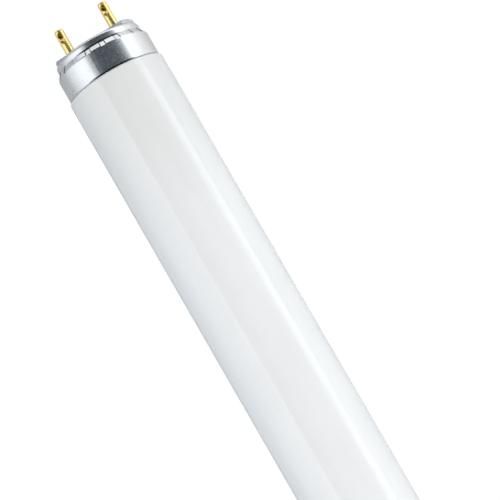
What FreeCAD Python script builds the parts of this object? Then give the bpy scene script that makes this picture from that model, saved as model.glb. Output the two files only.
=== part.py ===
import FreeCAD, Part
import os
import Sketcher

# Straight double-ended fluorescent tube, one inch across, with a two-pin base on each end.
# The tube lies along X with its middle at the origin, and the pins of each base stand side by side in Y.
# Each piece of a base is drawn with its own Z pointing out of the tube, and turned into place.

# Driving sizes in millimetres
SIZES = {
    # Glass bulb
    "bulb_diameter": 25.4,
    "base_face_length": 589.1,  # from one base face to the other, without the pins
    "neck_run": 0.5,  # length over which the glass narrows in front of the base
    "neck_round": 0.6,
    "neck_fillet": 0.3,
    "glass_insert": 6.0,  # how far the glass reaches into the base
    "glass_end_round": 1.5,
    "stem_mouth_diameter": 16.4,  # hollow stem, drawn into the bulb from its end
    "stem_throat_diameter": 9.2,
    "stem_depth": 16.0,
    "exhaust_diameter": 4.0,  # sealed stub of the exhaust tube, in the middle of the stem
    "exhaust_setback": 0.5,
    "exhaust_round": 1.2,
    # Drawn base shell
    "skirt_inset": 0.45,  # skirt inside the bulb's outline
    "cap_wall": 0.35,
    "skirt_height": 7.6,  # up to the crease under the collar
    "shoulder_run": 1.45,  # height of the sloping shoulder
    "shoulder_step": 0.97,  # from the skirt in to the collar
    "shoulder_round": 0.6,
    "crease_round": 0.12,
    "collar_height": 2.05,
    "rim_round": 1.0,
    # Staking marks round the shoulder, which hold the insulator from below
    "crimp_count": 18,
    "crimp_width": 1.4,
    "crimp_depth": 0.15,
    "nub_reach": 0.3,
    "nub_height": 0.4,
    # Insulator
    "plate_thickness": 1.5,
    "plate_clearance": 0.1,
    "boss_rise": 1.0,  # above the rim of the shell
    "boss_width": 9.9,
    "boss_margin": 0.5,  # from the end of the boss to the outside of the collar
    "boss_edge": 0.2,
    "opening_clearance": 0.05,
    # Contact pins
    "pin_spacing": 12.7,
    "pin_diameter": 2.35,
    "pin_length": 7.45,  # above the base face
    "pin_bore": 1.1,  # hollow tail, which takes the lead
    "bore_setback": 0.4,  # from the base face down to the end of the bore
    "pin_tip_round": 0.6,
    "waist_diameter": 1.7,  # where the insulator is moulded round the pin
    "pin_fit": 0.03,
    "flange_diameter": 3.6,
    "flange_thickness": 0.5,
    "tail_length": 1.0,
    # Double punch mark on two sides of a pin
    "dent_round": 1.0,
    "dent_depth": 0.38,
    "dent_offset": 1.7,  # from the tip to the first mark
    "dent_spacing": 1.4,
    # Basing cement
    "cement_gap": 0.2,
    "cement_setback": 0.8,
    # Lead wires
    "lead_diameter": 0.5,
    "lead_root_spacing": 6.4,
    "lead_rise": 5.0,  # straight run above the stem
    "lead_spread": 9.0,  # height over which the leads part
    "lead_bend": 3.0,
    "lead_end_gap": 0.2,  # from the end of the lead to the end of the bore
}

doc = FreeCAD.newDocument("fluorescent_tube")
sheet = doc.addObject("Spreadsheet::Sheet", "Sizes")
for row, (name, size) in enumerate(SIZES.items(), start=1):
    sheet.set(f"A{row}", name)
    sheet.set(f"B{row}", str(size))
    sheet.setAlias(f"B{row}", name)
doc.recompute()

# Sizes that follow from the driving ones, as expressions
BULB_R = "Sizes.bulb_diameter / 2"
SKIRT_R = f"({BULB_R} - Sizes.skirt_inset)"
SKIRT_BORE_R = f"({SKIRT_R} - Sizes.cap_wall)"
COLLAR_R = f"({SKIRT_R} - Sizes.shoulder_step)"
COLLAR_BORE_R = f"({COLLAR_R} - Sizes.cap_wall)"
NECK_R = f"({SKIRT_BORE_R} - Sizes.cement_gap)"
PLATE_R = f"({COLLAR_BORE_R} - Sizes.plate_clearance)"
BOSS_END_R = f"({COLLAR_R} - Sizes.boss_margin)"
PIN_R = "Sizes.pin_diameter / 2"
WAIST_R = "Sizes.waist_diameter / 2"
PIN_BORE_R = "Sizes.pin_bore / 2"
FLANGE_R = "Sizes.flange_diameter / 2"
EXHAUST_R = "Sizes.exhaust_diameter / 2"
STEM_MOUTH_R = "Sizes.stem_mouth_diameter / 2"
GLASS_END_ROUND = f"min(Sizes.glass_end_round; ({NECK_R} - {STEM_MOUTH_R}) / 2)"  # within the rim
INNER_RIM_ROUND = "(Sizes.rim_round - Sizes.cap_wall)"

# Heights in a base, above the open edge of its skirt
CAP_HEIGHT = "(Sizes.skirt_height + Sizes.collar_height)"
FACE_HEIGHT = f"({CAP_HEIGHT} + Sizes.boss_rise)"
PLATE_BASE = f"({CAP_HEIGHT} - Sizes.cap_wall - Sizes.plate_thickness)"
INSULATOR_HEIGHT = f"({FACE_HEIGHT} - {PLATE_BASE})"
PIN_BASE = f"({PLATE_BASE} - Sizes.flange_thickness - Sizes.tail_length)"
STEM_FLOOR = "(Sizes.glass_insert - Sizes.stem_depth)"
PIN_HEIGHT = f"({FACE_HEIGHT} + Sizes.pin_length - {PIN_BASE})"
BORE_HEIGHT = f"({FACE_HEIGHT} - Sizes.bore_setback - {PIN_BASE})"
LEAD_HEIGHT = f"({PIN_BASE} + {BORE_HEIGHT} - Sizes.lead_end_gap - {STEM_FLOOR})"

# Distance from the middle of the tube to the open edge of a skirt
SKIRT_EDGE = f"(Sizes.base_face_length / 2 - {FACE_HEIGHT})"


def value(expression):
    """The number that an expression gives with the sizes of the sheet."""
    return float(sheet.evalExpression(expression))


def origin_feature(body, role):
    """One of the body's own origin planes or axes."""
    return next(feature for feature in body.Origin.OriginFeatures if feature.Role == role)


def new_body(label):
    """An empty body, named after its piece."""
    body = doc.addObject("PartDesign::Body", label)
    body.Label = label
    return body


def new_sketch(body, role, name):
    """An empty sketch on one of the body's origin planes."""
    sketch = body.newObject("Sketcher::SketchObject", name)
    sketch.AttachmentSupport = [(origin_feature(body, role), "")]
    sketch.MapMode = "FlatFace"
    return sketch


def add_size(sketch, kind, *target, size):
    """A dimension of the sketch, bound to an expression."""
    index = sketch.addConstraint(Sketcher.Constraint(kind, *target, value(size)))
    sketch.setExpression(f"Constraints[{index}]", size)


def hold_point(sketch, element, end, across, up):
    """Holds a point of the sketch at the place that two expressions give."""
    for kind, axis, size in (("DistanceX", -2, across), ("DistanceY", -1, up)):
        if size == "0":
            sketch.addConstraint(Sketcher.Constraint("PointOnObject", element, end, axis))
        else:
            add_size(sketch, kind, -1, 1, element, end, size=size)


def draw_path(sketch, corners, closed=True):
    """Straight edges through corners (across, up, round), where round is None at a sharp corner."""
    places = [FreeCAD.Vector(value(across), value(up), 0) for across, up, _ in corners]
    count = len(corners)
    edge_count = count if closed else count - 1
    arrive = list(places)
    leave = list(places)
    arcs = {}
    for i, (_, _, radius) in enumerate(corners):
        if radius is None:
            continue
        back = (places[i - 1] - places[i]).normalize()
        ahead = (places[(i + 1) % count] - places[i]).normalize()
        cosine = back.dot(ahead)
        reach = value(radius) * ((1 + cosine) / (1 - cosine)) ** 0.5
        arrive[i] = places[i] + back * reach
        leave[i] = places[i] + ahead * reach
        middle = (back + ahead).normalize()
        nearest = value(radius) * ((2 / (1 - cosine)) ** 0.5 - 1)
        arcs[i] = Part.Arc(arrive[i], places[i] + middle * nearest, leave[i])
    edges = [
        sketch.addGeometry(Part.LineSegment(leave[i], arrive[(i + 1) % count]))
        for i in range(edge_count)
    ]
    for i, (across, up, radius) in enumerate(corners):
        before = edges[i - 1] if closed or i > 0 else None
        after = edges[i] if i < edge_count else None
        if radius is None:
            if after is None:
                hold_point(sketch, before, 2, across, up)
                continue
            hold_point(sketch, after, 1, across, up)
            if before is not None:
                sketch.addConstraint(Sketcher.Constraint("Coincident", before, 2, after, 1))
            continue
        corner = sketch.addGeometry(Part.Point(places[i]), True)
        hold_point(sketch, corner, 1, across, up)
        sketch.addConstraint(Sketcher.Constraint("PointOnObject", corner, 1, before))
        sketch.addConstraint(Sketcher.Constraint("PointOnObject", corner, 1, after))
        arc = sketch.addGeometry(arcs[i])
        turned = (sketch.getPoint(arc, 1) - arrive[i]).Length > (sketch.getPoint(arc, 2) - arrive[i]).Length
        first, last = (2, 1) if turned else (1, 2)
        sketch.addConstraint(Sketcher.Constraint("Tangent", before, 2, arc, first))
        sketch.addConstraint(Sketcher.Constraint("Tangent", arc, last, after, 1))
        add_size(sketch, "Radius", arc, size=radius)


def draw_circle(sketch, across, up, radius):
    """A circle whose centre and radius are expressions."""
    centre = FreeCAD.Vector(value(across), value(up), 0)
    circle = sketch.addGeometry(Part.Circle(centre, FreeCAD.Vector(0, 0, 1), value(radius)))
    hold_point(sketch, circle, 3, across, up)
    add_size(sketch, "Radius", circle, size=radius)


def draw_strip(sketch, half_width, end_radius):
    """A straight-sided strip along Y across the middle, whose ends are arcs about the middle."""
    wide = value(half_width)
    radius = value(end_radius)
    far = (radius ** 2 - wide ** 2) ** 0.5
    corners = [FreeCAD.Vector(x, y, 0) for x, y in ((wide, -far), (wide, far), (-wide, far), (-wide, -far))]
    right = sketch.addGeometry(Part.LineSegment(corners[0], corners[1]))
    top = sketch.addGeometry(Part.Arc(corners[1], FreeCAD.Vector(0, radius, 0), corners[2]))
    left = sketch.addGeometry(Part.LineSegment(corners[2], corners[3]))
    bottom = sketch.addGeometry(Part.Arc(corners[3], FreeCAD.Vector(0, -radius, 0), corners[0]))
    for before, after in ((right, top), (top, left), (left, bottom), (bottom, right)):
        sketch.addConstraint(Sketcher.Constraint("Coincident", before, 2, after, 1))
    for side in (right, left):
        sketch.addConstraint(Sketcher.Constraint("Vertical", side))
    for arc in (top, bottom):
        sketch.addConstraint(Sketcher.Constraint("Coincident", arc, 3, -1, 1))
        add_size(sketch, "Radius", arc, size=end_radius)
    add_size(sketch, "DistanceX", -1, 1, right, 1, size=half_width)
    add_size(sketch, "DistanceX", left, 1, -1, 1, size=half_width)


def revolve(body, name, corners):
    """A solid of revolution about Z, from an outline of (radius, height, round)."""
    sketch = new_sketch(body, "XZ_Plane", f"{name}_profile")
    draw_path(sketch, corners)
    turned = body.newObject("PartDesign::Revolution", name)
    turned.Profile = sketch
    turned.ReferenceAxis = (sketch, ["V_Axis"])
    turned.Angle = 360
    return turned


def add_feature(body, kind, name, sketch, **settings):
    """A feature of the body that is driven by a sketch."""
    feature = body.newObject(f"PartDesign::{kind}", name)
    feature.Profile = sketch
    for setting, choice in settings.items():
        setattr(feature, setting, choice)
    return feature


def place_in_base(body, side, height, across="0", half_turn=0):
    """Turns a piece to the base on one side (+1 or -1), height above the edge of the skirt."""
    turn = FreeCAD.Rotation(FreeCAD.Vector(0, 1, 0), 90 * side)
    spin = FreeCAD.Rotation(FreeCAD.Vector(0, 0, 1), half_turn)
    body.Placement = FreeCAD.Placement(FreeCAD.Vector(0, 0, 0), turn.multiply(spin))
    body.setExpression("Placement.Base.x", f"{side} * ({SKIRT_EDGE} + {height})")
    body.setExpression("Placement.Base.y", across)


def make_bulb():
    """Sealed glass bulb: straight wall, necked ends, hollow stems with the stub of the exhaust tube."""
    body = new_body("glass_bulb")
    glass_end = f"({SKIRT_EDGE} + Sizes.glass_insert)"
    stem_floor = f"({SKIRT_EDGE} + {STEM_FLOOR})"
    exhaust_top = f"({glass_end} - Sizes.exhaust_setback)"
    half = revolve(body, "half_bulb", [
        ("0", "0", None),
        (BULB_R, "0", None),
        (BULB_R, f"{SKIRT_EDGE} - Sizes.neck_run", "Sizes.neck_round"),
        (NECK_R, SKIRT_EDGE, "Sizes.neck_fillet"),
        (NECK_R, glass_end, GLASS_END_ROUND),
        (STEM_MOUTH_R, glass_end, GLASS_END_ROUND),
        ("Sizes.stem_throat_diameter / 2", stem_floor, None),
        (EXHAUST_R, stem_floor, None),
        (EXHAUST_R, exhaust_top, "Sizes.exhaust_round"),
        ("0", exhaust_top, None),
    ])
    whole = body.newObject("PartDesign::Mirrored", "whole_bulb")
    whole.Originals = [half]
    whole.MirrorPlane = (origin_feature(body, "XY_Plane"), [""])
    body.Tip = whole
    body.Placement = FreeCAD.Placement(FreeCAD.Vector(0, 0, 0), FreeCAD.Rotation(FreeCAD.Vector(0, 1, 0), 90))
    return body


def make_shell(label, side):
    """Drawn base shell: skirt, shoulder, collar and face, with the opening for the insulator's boss."""
    body = new_body(label)
    shoulder_base = "(Sizes.skirt_height - Sizes.shoulder_run)"
    drop = "Sizes.cap_wall * tan(atan(Sizes.shoulder_step / Sizes.shoulder_run) / 2)"
    revolve(body, "drawn_cup", [
        (SKIRT_R, "0", None),
        (SKIRT_R, shoulder_base, "Sizes.shoulder_round + Sizes.cap_wall"),
        (COLLAR_R, "Sizes.skirt_height", "Sizes.crease_round"),
        (COLLAR_R, CAP_HEIGHT, "Sizes.rim_round"),
        ("0", CAP_HEIGHT, None),
        ("0", f"{CAP_HEIGHT} - Sizes.cap_wall", None),
        (COLLAR_BORE_R, f"{CAP_HEIGHT} - Sizes.cap_wall", INNER_RIM_ROUND),
        (COLLAR_BORE_R, f"Sizes.skirt_height - {drop}", "Sizes.crease_round + Sizes.cap_wall"),
        (SKIRT_BORE_R, f"{shoulder_base} - {drop}", "Sizes.shoulder_round"),
        (SKIRT_BORE_R, "0", None),
    ])

    opening = new_sketch(body, "XY_Plane", "opening_outline")
    opening_half = "Sizes.boss_width / 2 + Sizes.opening_clearance"
    opening_end = f"{BOSS_END_R} + Sizes.opening_clearance"
    draw_strip(opening, opening_half, opening_end)
    add_feature(body, "Pocket", "opening", opening, Type="ThroughAll", Midplane=True)

    slope = "sqrt(Sizes.shoulder_run ^ 2 + Sizes.shoulder_step ^ 2)"
    punch_in = f"Sizes.crimp_depth * Sizes.shoulder_run / {slope}"
    punch_down = f"Sizes.crimp_depth * Sizes.shoulder_step / {slope}"
    punch = new_sketch(body, "XZ_Plane", "punch_section")
    draw_path(punch, [
        (f"{SKIRT_R} - {punch_in}", f"{shoulder_base} - {punch_down}", None),
        (f"{COLLAR_R} - {punch_in}", f"Sizes.skirt_height - {punch_down}", None),
        (f"{COLLAR_R} + {punch_in}", f"Sizes.skirt_height + {punch_down}", None),
        (f"{SKIRT_R} + {punch_in}", f"{shoulder_base} + {punch_down}", None),
    ])
    crimp = add_feature(body, "Pocket", "crimp", punch, Midplane=True)
    crimp.setExpression("Length", "Sizes.crimp_width")

    wedge = new_sketch(body, "XZ_Plane", "nub_section")
    wall_middle = f"{COLLAR_BORE_R} + Sizes.cap_wall / 2"
    draw_path(wedge, [
        (wall_middle, f"{PLATE_BASE} - Sizes.nub_height", None),
        (wall_middle, PLATE_BASE, None),
        (f"{COLLAR_BORE_R} - Sizes.nub_reach", PLATE_BASE, None),
    ])
    nub = add_feature(body, "Pad", "nub", wedge, Midplane=True)
    nub.setExpression("Length", "Sizes.crimp_width")

    staking = body.newObject("PartDesign::PolarPattern", "staking")
    staking.Originals = [crimp, nub]
    staking.Axis = (origin_feature(body, "Z_Axis"), [""])
    staking.Angle = 360
    staking.setExpression("Occurrences", "Sizes.crimp_count")
    body.Tip = staking
    place_in_base(body, side, "0")
    return body


def make_insulator(label, side):
    """Insulator: a round plate under the face of the shell, and a straight-sided boss through its opening."""
    body = new_body(label)
    revolve(body, "plate", [
        ("0", "0", None),
        (PLATE_R, "0", None),
        (PLATE_R, "Sizes.plate_thickness", INNER_RIM_ROUND),
        ("0", "Sizes.plate_thickness", None),
    ])
    strip = new_sketch(body, "XY_Plane", "boss_outline")
    draw_strip(strip, "Sizes.boss_width / 2", BOSS_END_R)
    boss = add_feature(body, "Pad", "boss", strip)
    boss.setExpression("Length", INSULATOR_HEIGHT)
    doc.recompute()

    faces = boss.Shape.Faces
    top = max(range(len(faces)), key=lambda i: faces[i].CenterOfMass.z)
    edge = body.newObject("PartDesign::Chamfer", "boss_edge")
    edge.Base = (boss, [f"Face{top + 1}"])
    edge.setExpression("Size", "Sizes.boss_edge")

    holes = new_sketch(body, "XY_Plane", "pin_hole_circles")
    for way in ("", "-"):
        draw_circle(holes, "0", f"{way}Sizes.pin_spacing / 2", f"{WAIST_R} + Sizes.pin_fit")
    add_feature(body, "Pocket", "pin_holes", holes, Type="ThroughAll", Midplane=True)
    place_in_base(body, side, PLATE_BASE)
    return body


def make_pin(label, side, across):
    """Contact pin: hollow tail, flange and waist in the insulator, shank with a double punch mark on two sides."""
    body = new_body(label)
    flange_base = "Sizes.tail_length"
    flange_top = "Sizes.tail_length + Sizes.flange_thickness"
    waist_top = f"{FACE_HEIGHT} - {PIN_BASE}"
    revolve(body, "turned_pin", [
        (PIN_BORE_R, "0", None),
        (PIN_R, "0", None),
        (PIN_R, flange_base, None),
        (FLANGE_R, flange_base, None),
        (FLANGE_R, flange_top, None),
        (WAIST_R, flange_top, None),
        (WAIST_R, waist_top, None),
        (PIN_R, waist_top, None),
        (PIN_R, PIN_HEIGHT, "Sizes.pin_tip_round"),
        ("0", PIN_HEIGHT, None),
        ("0", BORE_HEIGHT, None),
        (PIN_BORE_R, BORE_HEIGHT, None),
    ])
    for way in ("", "-"):
        for mark in range(2):
            dent = body.newObject("PartDesign::SubtractiveSphere", "dent")
            dent.setExpression("Radius", "Sizes.dent_round")
            dent.setExpression("Placement.Base.x", f"{way}({PIN_R} + Sizes.dent_round - Sizes.dent_depth)")
            dent.setExpression(
                "Placement.Base.z", f"{PIN_HEIGHT} - Sizes.dent_offset - {mark} * Sizes.dent_spacing")
    place_in_base(body, side, PIN_BASE, across=across)
    return body


def make_cement(label, side):
    """Ring of basing cement between the neck of the glass and the skirt."""
    body = new_body(label)
    cement_height = f"Sizes.glass_insert - {GLASS_END_ROUND} - Sizes.cement_setback"
    revolve(body, "ring", [
        (NECK_R, "0", None),
        (SKIRT_BORE_R, "0", None),
        (SKIRT_BORE_R, cement_height, None),
        (NECK_R, cement_height, None),
    ])
    place_in_base(body, side, "Sizes.cement_setback")
    return body


def make_lead(label, side, half_turn):
    """Lead wire from the floor of the glass stem up into the bore of a pin."""
    body = new_body(label)
    root = "Sizes.lead_root_spacing / 2"
    pin_place = "Sizes.pin_spacing / 2"
    section = new_sketch(body, "XY_Plane", "lead_section")
    draw_circle(section, "0", root, "Sizes.lead_diameter / 2")
    route = new_sketch(body, "YZ_Plane", "lead_route")
    draw_path(route, [
        (root, "0", None),
        (root, "Sizes.lead_rise", "Sizes.lead_bend"),
        (pin_place, "Sizes.lead_rise + Sizes.lead_spread", "Sizes.lead_bend"),
        (pin_place, LEAD_HEIGHT, None),
    ], closed=False)
    doc.recompute()
    wire = add_feature(body, "AdditivePipe", "lead", section)
    wire.Spine = (route, [f"Edge{i + 1}" for i in range(len(route.Shape.Edges))])
    place_in_base(body, side, STEM_FLOOR, half_turn=half_turn)
    return body


pieces = [make_bulb()]
for side_name, side in (("left", -1), ("right", 1)):
    pieces.append(make_shell(f"base_shell_{side_name}", side))
    pieces.append(make_insulator(f"insulator_{side_name}", side))
    pieces.append(make_cement(f"cement_ring_{side_name}", side))
    for number, way, half_turn in ((1, "-", 180), (2, "", 0)):
        across = f"{way}Sizes.pin_spacing / 2"
        pieces.append(make_pin(f"contact_pin_{side_name}_{number}", side, across))
        pieces.append(make_lead(f"lead_wire_{side_name}_{number}", side, half_turn))
doc.recompute()

for thing in doc.Objects:
    if "Invalid" in thing.State or "Error" in thing.State:
        raise RuntimeError(f"{thing.Label} failed: {thing.State}")
for piece in pieces:
    if piece.Shape.isNull() or not piece.Shape.isValid() or len(piece.Shape.Solids) != 1:
        raise RuntimeError(f"{piece.Label} is not one valid solid")

os.makedirs("parts", exist_ok=True)
for piece in pieces:
    piece.Shape.exportStep(f"parts/{piece.Label}.step")
    print(piece.Label, round(piece.Shape.Volume, 2), "mm3")
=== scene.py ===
from math import pi, radians, tan

import bmesh
import bpy
from mathutils import Matrix, Vector


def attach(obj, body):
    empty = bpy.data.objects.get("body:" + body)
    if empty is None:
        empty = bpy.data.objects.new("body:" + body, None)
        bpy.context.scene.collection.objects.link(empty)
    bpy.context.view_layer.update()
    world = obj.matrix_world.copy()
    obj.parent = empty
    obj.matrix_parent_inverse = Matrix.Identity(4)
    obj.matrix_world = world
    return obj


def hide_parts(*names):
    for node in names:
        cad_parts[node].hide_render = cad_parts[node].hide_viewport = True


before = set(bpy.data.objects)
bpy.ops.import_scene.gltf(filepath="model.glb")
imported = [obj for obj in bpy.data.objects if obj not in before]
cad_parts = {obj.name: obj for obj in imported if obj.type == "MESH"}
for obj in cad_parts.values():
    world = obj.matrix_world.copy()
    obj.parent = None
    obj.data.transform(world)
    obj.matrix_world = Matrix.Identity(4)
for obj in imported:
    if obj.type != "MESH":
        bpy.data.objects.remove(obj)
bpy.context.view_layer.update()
MM = 0.001

# Sizes of the bulb in millimetres, from the middle of the tube outwards
# The neck starts a little nearer to the skirt than in the solid, for a finer groove
BULB_R = 12.7
NECK_R = 11.7
NECK_START = 283.7
SKIRT_EDGE = 283.9
GLASS_END = 289.9
SHOULDER_ROUND = 0.6
NECK_ROUND = 0.3
RIM_ROUND = 1.5

# Distances from the neck of two rings that keep the shading of the wall even, in millimetres
LAST_RING = 4
LONG_RING = 60

# Sizes of the hollow stem and its sealed stub inside each end of the bulb, in millimetres
FLARE_R = 8.2
STEM_FLOOR = 273.9
STEM_FLOOR_R = 4.6
STUB_R = 2.0
STUB_END = GLASS_END - 0.5
STUB_ROUND = 1.2

# Fineness of the bulb's mesh
ROUND_STEPS = 8
TURN_STEPS = 192
MERGE_DISTANCE = 1e-6
SHORTEST_EDGE = 1e-7
SHARP_TURN = radians(40)

# Places of the base's details, in millimetres from the middle of the tube
SHOULDER_FOOT = 290.05
CREASE = 291.5
PAST_THE_END = 320.0

# Staking marks in degrees round the tube; then the turn round the tube where painted shade sits in the
# creases, the skirt's edge and the marks, and how far from it the painted shade stays full and fades out
MARK_STEP = 20.0
MARK_END = 3.4
MARK_LINE = 0.4
MARK_LINE_FADE = 0.8
SHADE_TURN = 16.0
SHADE_FULL = 20.0
SHADE_GONE = 38.0

# Punch marks of the pins in millimetres: balls that the punch leaves on both sides
PIN_ACROSS = 6.35
PUNCH_HEIGHT = 1.795
PUNCH_R = 1.0
PUNCH_FADE_R = 1.08
LOWER_PUNCH = 298.9
UPPER_PUNCH = 300.3

# Colours of the finishes
COAT_DULL = (0.81, 0.812, 0.81, 1)
COAT_WHITE = (0.84, 0.842, 0.84, 1)
COAT_ENDS = (0.66, 0.655, 0.62, 1)
ALUMINIUM_DULL = (0.68, 0.68, 0.68, 1)
ALUMINIUM_BRIGHT = (0.73, 0.73, 0.73, 1)
ALUMINIUM_STAIN = (0.50, 0.53, 0.55, 1)
# Painted shade: dark colour for the crease, the skirt's edge and the ends of the staking marks
PAINTED_CREASE_SHADE = (0.05, 0.055, 0.06, 1)
BRASS_DEEP = (0.93, 0.71, 0.25, 1)
BRASS_PALE = (0.96, 0.78, 0.33, 1)
PUNCH_COPPER = (0.76, 0.46, 0.16, 1)
PUNCH_BROWN = (0.20, 0.09, 0.02, 1)
INSULATOR_DARK = (0.50, 0.51, 0.52, 1)
INSULATOR_PALE = (0.60, 0.61, 0.62, 1)
CEMENT_DARK = (0.45, 0.38, 0.27, 1)
CEMENT_PALE = (0.62, 0.56, 0.45, 1)
NICKEL_DARK = (0.55, 0.53, 0.50, 1)
NICKEL_PALE = (0.66, 0.64, 0.60, 1)

# Colours of the studio
WHITE = (1, 1, 1, 1)
TABLE_PALE = (0.50, 0.515, 0.525, 1)
OVERHEAD_DARK = (0.047, 0.062, 0.086, 1)
OVERHEAD_PALE = (1, 1.04, 1.08, 1)
LOW_LEFT = (0.12, 0.16, 0.18, 1)
LOW_RIGHT = (1.3, 1.33, 1.36, 1)
LOW_END = (1.6, 1.61, 1.63, 1)


def round_corner(bm, corner, radius):
    """Rounds one corner of an open outline to a radius."""
    before, after = (edge.other_vert(corner).co - corner.co for edge in corner.link_edges)
    turn = pi - before.angle(after)
    bmesh.ops.bevel(
        bm, geom=[corner], offset=radius * tan(turn / 2), offset_type="OFFSET",
        affect="VERTICES", segments=ROUND_STEPS, profile=0.5, material=-1)


def make_glass_bulb():
    """Glass bulb: straight wall, necked ends, and a hollow stem with a sealed stub at each end."""
    outline = [
        (0, BULB_R, 0),
        (NECK_START - LONG_RING, BULB_R, 0),
        (NECK_START - LAST_RING, BULB_R, 0),
        (NECK_START, BULB_R, SHOULDER_ROUND),
        (SKIRT_EDGE, NECK_R, NECK_ROUND),
        (GLASS_END, NECK_R, RIM_ROUND),
        (GLASS_END, FLARE_R, RIM_ROUND),
        (STEM_FLOOR, STEM_FLOOR_R, 0),
        (STEM_FLOOR, STUB_R, 0),
        (STUB_END, STUB_R, STUB_ROUND),
        (STUB_END, 0, 0),
    ]
    bm = bmesh.new()
    corners = [bm.verts.new((x * MM, 0, r * MM)) for x, r, _ in outline]
    for pair in zip(corners, corners[1:]):
        bm.edges.new(pair)
    for corner, (_, _, radius) in zip(corners, outline):
        if radius:
            round_corner(bm, corner, radius * MM)
    bmesh.ops.spin(
        bm, geom=bm.verts[:] + bm.edges[:], axis=(1, 0, 0), cent=(0, 0, 0),
        angle=2 * pi, steps=TURN_STEPS, use_merge=True)
    bmesh.ops.mirror(
        bm, geom=bm.verts[:] + bm.edges[:] + bm.faces[:], matrix=Matrix(), axis="X",
        merge_dist=MERGE_DISTANCE)
    bmesh.ops.remove_doubles(bm, verts=bm.verts, dist=MERGE_DISTANCE)
    bmesh.ops.dissolve_degenerate(bm, edges=bm.edges, dist=SHORTEST_EDGE)
    bmesh.ops.recalc_face_normals(bm, faces=bm.faces)
    for face in bm.faces:
        face.smooth = True
    for edge in bm.edges:
        edge.smooth = edge.calc_face_angle(0) < SHARP_TURN
    mesh = bpy.data.meshes.new("glass_wall")
    bm.to_mesh(mesh)
    bm.free()
    piece = bpy.data.objects.new("glass_wall", mesh)
    bpy.context.scene.collection.objects.link(piece)
    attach(piece, "root")
    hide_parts("glass_bulb")
    return piece


def join(tree, source, socket):
    """Links another socket to this one, or sets its value."""
    if isinstance(source, bpy.types.NodeSocket):
        tree.links.new(source, socket)
    else:
        socket.default_value = source


def calculate(tree, operation, first, second=0.0, third=0.0):
    """Result of a sum on numbers or sockets."""
    node = tree.nodes.new("ShaderNodeMath")
    node.operation = operation
    for source, socket in zip((first, second, third), node.inputs):
        join(tree, source, socket)
    return node.outputs["Value"]


def soft_step(tree, value, low, high, start=0.0, end=1.0):
    """Goes smoothly from start to end while the value goes from low to high."""
    node = tree.nodes.new("ShaderNodeMapRange")
    node.interpolation_type = "SMOOTHSTEP"
    sources = {"Value": value, "From Min": low, "From Max": high, "To Min": start, "To Max": end}
    for name, source in sources.items():
        join(tree, source, node.inputs[name])
    return node.outputs["Result"]


def blend(tree, mask, first, second):
    """First colour, and the second where the mask is 1."""
    node = tree.nodes.new("ShaderNodeMix")
    node.data_type = "RGBA"
    join(tree, mask, node.inputs["Factor"])
    join(tree, first, node.inputs["A"])
    join(tree, second, node.inputs["B"])
    return node.outputs["Result"]


def new_group(name, inputs, outputs):
    """An empty node group with number or vector sockets."""
    group = bpy.data.node_groups.new(name, "ShaderNodeTree")
    for label, kind in inputs:
        group.interface.new_socket(label, in_out="INPUT", socket_type="NodeSocket" + kind)
    for label, kind in outputs:
        group.interface.new_socket(label, in_out="OUTPUT", socket_type="NodeSocket" + kind)
    given = group.nodes.new("NodeGroupInput").outputs
    result = group.nodes.new("NodeGroupOutput").inputs
    return group, given, result


def use_group(tree, group, **values):
    """Outputs of a node group with its inputs set."""
    node = tree.nodes.new("ShaderNodeGroup")
    node.node_tree = group
    for name, value in values.items():
        node.inputs[name].default_value = value
    return node.outputs


def object_place(tree):
    """Place on the object in metres."""
    return tree.nodes.new("ShaderNodeTexCoord").outputs["Object"]


def split_place(tree):
    """The three parts of the place on the object, in millimetres."""
    scale = tree.nodes.new("ShaderNodeVectorMath")
    scale.operation = "SCALE"
    scale.inputs["Scale"].default_value = 1 / MM
    tree.links.new(object_place(tree), scale.inputs["Vector"])
    split = tree.nodes.new("ShaderNodeSeparateXYZ")
    tree.links.new(scale.outputs["Vector"], split.inputs["Vector"])
    return split.outputs["X"], split.outputs["Y"], split.outputs["Z"]


def make_grain():
    """Uneven surface: a shade, a roughness between two values and a relief, drawn out by a stretch."""
    inputs = (
        ("Stretch", "Vector"),
        ("Size", "Float"),
        ("Smooth", "Float"),
        ("Rough", "Float"),
        ("Relief", "Float"),
    )
    outputs = (("Shade", "Float"), ("Roughness", "Float"), ("Normal", "Vector"))
    group, given, result = new_group("surface_grain", inputs, outputs)
    stretch = group.nodes.new("ShaderNodeVectorMath")
    stretch.operation = "MULTIPLY"
    group.links.new(object_place(group), stretch.inputs[0])
    group.links.new(given["Stretch"], stretch.inputs[1])
    noise = group.nodes.new("ShaderNodeTexNoise")
    noise.inputs["Detail"].default_value = 4
    noise.inputs["Roughness"].default_value = 0.6
    group.links.new(stretch.outputs["Vector"], noise.inputs["Vector"])
    group.links.new(calculate(group, "DIVIDE", 1 / MM, given["Size"]), noise.inputs["Scale"])
    shade = soft_step(group, noise.outputs["Fac"], low=0.3, high=0.7)
    group.links.new(shade, result["Shade"])
    spread = calculate(group, "SUBTRACT", given["Rough"], given["Smooth"])
    rough = calculate(group, "MULTIPLY_ADD", shade, spread, given["Smooth"])
    group.links.new(rough, result["Roughness"])
    relief = group.nodes.new("ShaderNodeBump")
    relief.inputs["Distance"].default_value = 0.05 * MM
    group.links.new(given["Relief"], relief.inputs["Strength"])
    group.links.new(noise.outputs["Fac"], relief.inputs["Height"])
    group.links.new(relief.outputs["Normal"], result["Normal"])
    return group


def make_end_band():
    """Mask round both ends: 1 between two distances in millimetres from the middle of the tube."""
    inputs = (("From", "Float"), ("To", "Float"), ("Soft", "Float"))
    group, given, result = new_group("end_band", inputs, (("Mask", "Float"),))
    along = calculate(group, "ABSOLUTE", split_place(group)[0])
    before = calculate(group, "SUBTRACT", given["From"], given["Soft"])
    after = calculate(group, "ADD", given["To"], given["Soft"])
    rise = soft_step(group, along, before, given["From"])
    fall = soft_step(group, along, given["To"], after, start=1.0, end=0.0)
    group.links.new(calculate(group, "MULTIPLY", rise, fall), result["Mask"])
    return group


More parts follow.
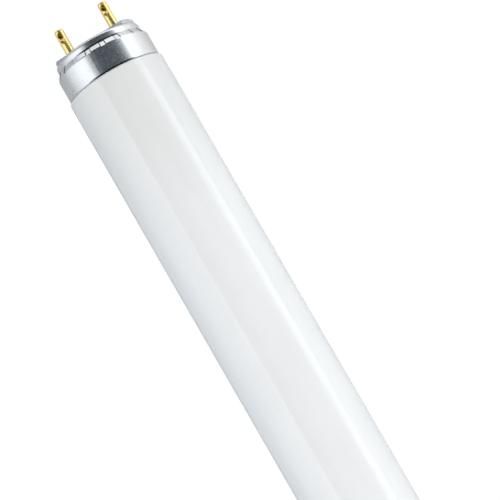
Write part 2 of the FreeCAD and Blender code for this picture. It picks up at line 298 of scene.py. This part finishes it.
grain_group = make_grain()
band_group = make_end_band()


def new_material(name, **grain):
    """A procedural material whose roughness and relief come from its grain."""
    material = bpy.data.materials.new(name)
    material.use_nodes = True
    tree = material.node_tree
    shader = tree.nodes["Principled BSDF"]
    surface = use_group(tree, grain_group, **grain)
    tree.links.new(surface["Roughness"], shader.inputs["Roughness"])
    tree.links.new(surface["Normal"], shader.inputs["Normal"])
    return material, tree, shader, surface["Shade"]


def coated_glass():
    """Clear glass over a white powder coat, a little duller and warmer towards both ends."""
    material, tree, shader, shade = new_material(
        "coated_glass", Stretch=(0.2, 1, 1), Size=6.0, Smooth=0.0, Rough=0.02, Relief=0.004)
    coat = blend(tree, shade, COAT_DULL, COAT_WHITE)
    toward_ends = use_group(tree, band_group, From=280.0, To=PAST_THE_END, Soft=45.0)["Mask"]
    coat = blend(tree, calculate(tree, "MULTIPLY", toward_ends, 0.35), coat, COAT_ENDS)
    tree.links.new(coat, shader.inputs["Base Color"])
    shader.inputs["IOR"].default_value = 1.56
    return material


def turn_round_axis(tree):
    """Angle round the tube in degrees, from straight up towards +Y."""
    _, across, up = split_place(tree)
    return calculate(tree, "MULTIPLY", calculate(tree, "ARCTAN2", across, up), 180 / pi)


def away_from(tree, value, centre):
    """Distance of a value from a centre, on either side."""
    return calculate(tree, "ABSOLUTE", calculate(tree, "SUBTRACT", value, centre))


def staking_shade_lines(tree, turn):
    """Mask of the two ends of every staking mark round the shoulder, where shade is painted."""
    folded = calculate(tree, "WRAP", turn, MARK_STEP / 2, -MARK_STEP / 2)
    away = away_from(tree, calculate(tree, "ABSOLUTE", folded), MARK_END)
    line = soft_step(tree, away, MARK_LINE, MARK_LINE_FADE, start=1.0, end=0.0)
    slope = use_group(tree, band_group, From=SHOULDER_FOOT + 0.2, To=CREASE, Soft=0.2)["Mask"]
    return calculate(tree, "MULTIPLY", line, slope)


def drawn_aluminium():
    """Bright drawn sheet aluminium, with painted shade in the crease, along the skirt's edge and at the
    staking marks of its upper side.
    """
    material, tree, shader, shade = new_material(
        "drawn_aluminium", Stretch=(0.6, 1, 1), Size=0.5, Smooth=0.24, Rough=0.3, Relief=0.03)
    metal = blend(tree, shade, ALUMINIUM_DULL, ALUMINIUM_BRIGHT)
    stain = use_group(tree, grain_group, Stretch=(1, 1, 1), Size=5.0)["Shade"]
    metal = blend(tree, calculate(tree, "MULTIPLY", stain, 0.2), metal, ALUMINIUM_STAIN)
    # Painted shade: dark lines at the crease, the skirt's edge and the ends of the staking marks, full on
    # the upper side and fading round the tube
    crease = use_group(tree, band_group, From=CREASE - 0.18, To=CREASE + 0.18, Soft=0.12)["Mask"]
    edge = use_group(
        tree, band_group, From=SKIRT_EDGE - 0.2, To=SKIRT_EDGE + 0.25, Soft=0.12)["Mask"]
    turn = turn_round_axis(tree)
    lines = calculate(tree, "MAXIMUM", crease, edge)
    lines = calculate(tree, "MAXIMUM", lines, staking_shade_lines(tree, turn))
    away = away_from(tree, turn, SHADE_TURN)
    painted_shade = soft_step(tree, away, SHADE_FULL, SHADE_GONE, start=0.95, end=0.05)
    metal = blend(tree, calculate(tree, "MULTIPLY", lines, painted_shade), metal, PAINTED_CREASE_SHADE)
    tree.links.new(metal, shader.inputs["Base Color"])
    shader.inputs["Metallic"].default_value = 1
    return material


def punch_mark(tree, along):
    """Mask of the punch marks of all pins at one distance from the middle of the tube."""
    fold = tree.nodes.new("ShaderNodeVectorMath")
    fold.operation = "ABSOLUTE"
    tree.links.new(object_place(tree), fold.inputs[0])
    away = tree.nodes.new("ShaderNodeVectorMath")
    away.operation = "DISTANCE"
    tree.links.new(fold.outputs["Vector"], away.inputs[0])
    away.inputs[1].default_value = (along * MM, PIN_ACROSS * MM, PUNCH_HEIGHT * MM)
    return soft_step(
        tree, away.outputs["Value"], PUNCH_R * MM, PUNCH_FADE_R * MM, start=1.0, end=0.0)


def turned_brass():
    """Bright brass, coppery in the lower punch mark and dark brown in the upper one."""
    material, tree, shader, shade = new_material(
        "turned_brass", Stretch=(0.1, 1, 1), Size=0.5, Smooth=0.33, Rough=0.43, Relief=0.08)
    brass = blend(tree, shade, BRASS_DEEP, BRASS_PALE)
    brass = blend(tree, punch_mark(tree, LOWER_PUNCH), brass, PUNCH_COPPER)
    brass = blend(tree, punch_mark(tree, UPPER_PUNCH), brass, PUNCH_BROWN)
    tree.links.new(brass, shader.inputs["Base Color"])
    shader.inputs["Metallic"].default_value = 1
    return material


def moulded_insulator():
    """Grey moulded insulator, finely mottled."""
    material, tree, shader, shade = new_material(
        "moulded_insulator", Stretch=(1, 1, 1), Size=0.6, Smooth=0.5, Rough=0.65, Relief=0.15)
    moulding = blend(tree, shade, INSULATOR_DARK, INSULATOR_PALE)
    tree.links.new(moulding, shader.inputs["Base Color"])
    return material


def basing_cement():
    """Dry sandy cement."""
    material, tree, shader, shade = new_material(
        "basing_cement", Stretch=(1, 1, 1), Size=0.4, Smooth=0.8, Rough=0.95, Relief=0.8)
    cement = blend(tree, shade, CEMENT_DARK, CEMENT_PALE)
    tree.links.new(cement, shader.inputs["Base Color"])
    return material


def nickel_wire():
    """Drawn nickel wire with fine lines along it."""
    material, tree, shader, shade = new_material(
        "nickel_wire", Stretch=(0.05, 1, 1), Size=0.15, Smooth=0.2, Rough=0.4, Relief=0.2)
    nickel = blend(tree, shade, NICKEL_DARK, NICKEL_PALE)
    tree.links.new(nickel, shader.inputs["Base Color"])
    shader.inputs["Metallic"].default_value = 1
    return material


make_glass_bulb().data.materials.append(coated_glass())
finishes = {
    "base_shell": drawn_aluminium(),
    "insulator": moulded_insulator(),
    "contact_pin": turned_brass(),
    "cement_ring": basing_cement(),
    "lead_wire": nickel_wire(),
}
for name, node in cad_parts.items():
    for kind, finish in finishes.items():
        if name.startswith(kind):
            node.data.materials.clear()
            node.data.materials.append(finish)


def make_floor():
    """White table under the tube, which keeps a faint shadow; for mirror rays it glows unevenly, a painted
    reflection that is bright to the right and darkens to the left.
    """
    bm = bmesh.new()
    bmesh.ops.create_grid(bm, x_segments=2, y_segments=2, size=12)
    bmesh.ops.translate(bm, verts=bm.verts, vec=(0, 0, -BULB_R * MM))
    mesh = bpy.data.meshes.new("floor")
    bm.to_mesh(mesh)
    bm.free()
    floor = bpy.data.objects.new("floor", mesh)
    bpy.context.scene.collection.objects.link(floor)
    material = bpy.data.materials.new("white_table")
    material.use_nodes = True
    tree = material.node_tree
    shader = tree.nodes["Principled BSDF"]
    shader.inputs["Base Color"].default_value = TABLE_PALE
    shader.inputs["Roughness"].default_value = 0.9
    glow = tree.nodes.new("ShaderNodeEmission")
    path = tree.nodes.new("ShaderNodeLightPath").outputs
    # Painted light in the table's reflection: mirror rays see it glow brighter than the camera does, more
    # to the right of the tube and less to its left, where its real shadow shows
    mirrored = calculate(tree, "MAXIMUM", path["Is Glossy Ray"], path["Is Transmission Ray"])
    strength = calculate(tree, "MULTIPLY_ADD", mirrored, 0.28, 1.12)
    tree.links.new(strength, glow.inputs["Strength"])
    across = split_place(tree)[1]
    near = soft_step(tree, across, low=-2.0, high=44.0, start=0.1, end=0.72)
    far = soft_step(tree, across, low=50.0, high=70.0, start=0.0, end=0.25)
    painted_mirror_glow = calculate(tree, "MULTIPLY", mirrored, calculate(tree, "ADD", near, far))
    seen = calculate(tree, "MULTIPLY", path["Is Camera Ray"], 0.85)
    mix = tree.nodes.new("ShaderNodeMixShader")
    tree.links.new(calculate(tree, "MAXIMUM", seen, painted_mirror_glow), mix.inputs["Fac"])
    tree.links.new(shader.outputs["BSDF"], mix.inputs[1])
    tree.links.new(glow.outputs["Emission"], mix.inputs[2])
    tree.links.new(mix.outputs["Shader"], tree.nodes["Material Output"].inputs["Surface"])
    mesh.materials.append(material)


def make_world():
    """White backdrop for the camera; for other rays, mostly dark overhead and pale low on the right."""
    world = bpy.data.worlds.new("studio")
    bpy.context.scene.world = world
    world.use_nodes = True
    tree = world.node_tree
    place = tree.nodes.new("ShaderNodeTexCoord").outputs["Generated"]
    split = tree.nodes.new("ShaderNodeSeparateXYZ")
    tree.links.new(place, split.inputs["Vector"])
    along, across, up = split.outputs["X"], split.outputs["Y"], split.outputs["Z"]
    fade = soft_step(tree, across, low=-0.345, high=-0.04, start=0.35, end=0.0)
    left = calculate(tree, "MULTIPLY", soft_step(tree, across, low=-0.43, high=-0.365), fade)
    right = soft_step(tree, across, low=0.7, high=0.95, start=0.0, end=0.35)
    overhead = blend(tree, calculate(tree, "ADD", left, right), OVERHEAD_DARK, OVERHEAD_PALE)
    low = blend(tree, soft_step(tree, across, low=-0.7, high=0.5), LOW_LEFT, LOW_RIGHT)
    height = soft_step(tree, up, low=0.08, high=0.25, start=1.0, end=0.0)
    studio = blend(tree, height, overhead, low)
    end_side = soft_step(tree, along, low=-0.9, high=-0.5, start=1.0, end=0.0)
    end_height = soft_step(tree, up, low=0.1, high=0.4, start=1.0, end=0.0)
    studio = blend(tree, calculate(tree, "MULTIPLY", end_side, end_height), studio, LOW_END)
    path = tree.nodes.new("ShaderNodeLightPath").outputs
    seen = blend(tree, path["Is Camera Ray"], studio, WHITE)
    tree.links.new(seen, tree.nodes["Background"].inputs["Color"])


def make_softbox(name, centre, aim, width, length, radiance, colour):
    """A long soft lamp, turned to a point, whose long side lies along the tube."""
    lamp = bpy.data.lights.new(name, "AREA")
    lamp.color = colour
    lamp.shape = "RECTANGLE"
    lamp.size = length
    lamp.size_y = width
    lamp.energy = pi * width * length * radiance
    box = bpy.data.objects.new(name, lamp)
    bpy.context.scene.collection.objects.link(box)
    back = (Vector(centre) - Vector(aim)).normalized()
    up = back.cross(Vector((1, 0, 0))).normalized()
    along = up.cross(back)
    box.matrix_world = Matrix((along, up, back)).transposed().to_4x4()
    box.location = centre
    box.visible_camera = False
    return lamp


def fade_lower_side(lamp, share):
    """Dims a lamp smoothly towards its lower long side, down to a share of its light."""
    lamp.use_nodes = True
    tree = lamp.node_tree
    place = tree.nodes.new("ShaderNodeNewGeometry").outputs["Parametric"]
    split = tree.nodes.new("ShaderNodeSeparateXYZ")
    tree.links.new(place, split.inputs["Vector"])
    light = soft_step(tree, split.outputs["Y"], low=-0.2, high=0.8, start=share, end=1.0)
    tree.links.new(light, tree.nodes["Emission"].inputs["Strength"])


def make_lamps():
    """A tall box on the left, a low strip on the right, and a key with a narrow beam high on the right."""
    left_box = make_softbox(
        "left_box", centre=(-0.15, -0.514, 0.3467), aim=(-0.15, 0, 0),
        width=0.852, length=1.2, radiance=1.52, colour=(0.96, 1, 1.03))
    fade_lower_side(left_box, share=0.4)
    make_softbox(
        "right_box", centre=(-0.15, 0.671, 0.112), aim=(-0.15, 0, 0),
        width=0.228, length=1.6, radiance=1.5, colour=(0.87, 1, 1.10))
    key = make_softbox(
        "key", centre=(0.45, 0.64, 0.95), aim=(-0.24, 0, 0),
        width=0.8, length=0.9, radiance=1.42, colour=(1, 0.965, 0.915))
    key.spread = radians(80)


def make_camera():
    """Camera of the photograph: a long lens, leaning over the tube from the glass side."""
    data = bpy.data.cameras.new("camera")
    data.lens = 595.09
    data.sensor_width = 36
    data.clip_end = 50
    camera = bpy.data.objects.new("camera", data)
    bpy.context.scene.collection.objects.link(camera)
    camera.location = (0.166, 0.42178, 1.90255)
    camera.rotation_euler = (0.065012, 0.285621, 1.034094)
    bpy.context.scene.camera = camera


make_floor()
make_world()
make_lamps()
make_camera()
bpy.context.scene.view_settings.view_transform = "Standard"
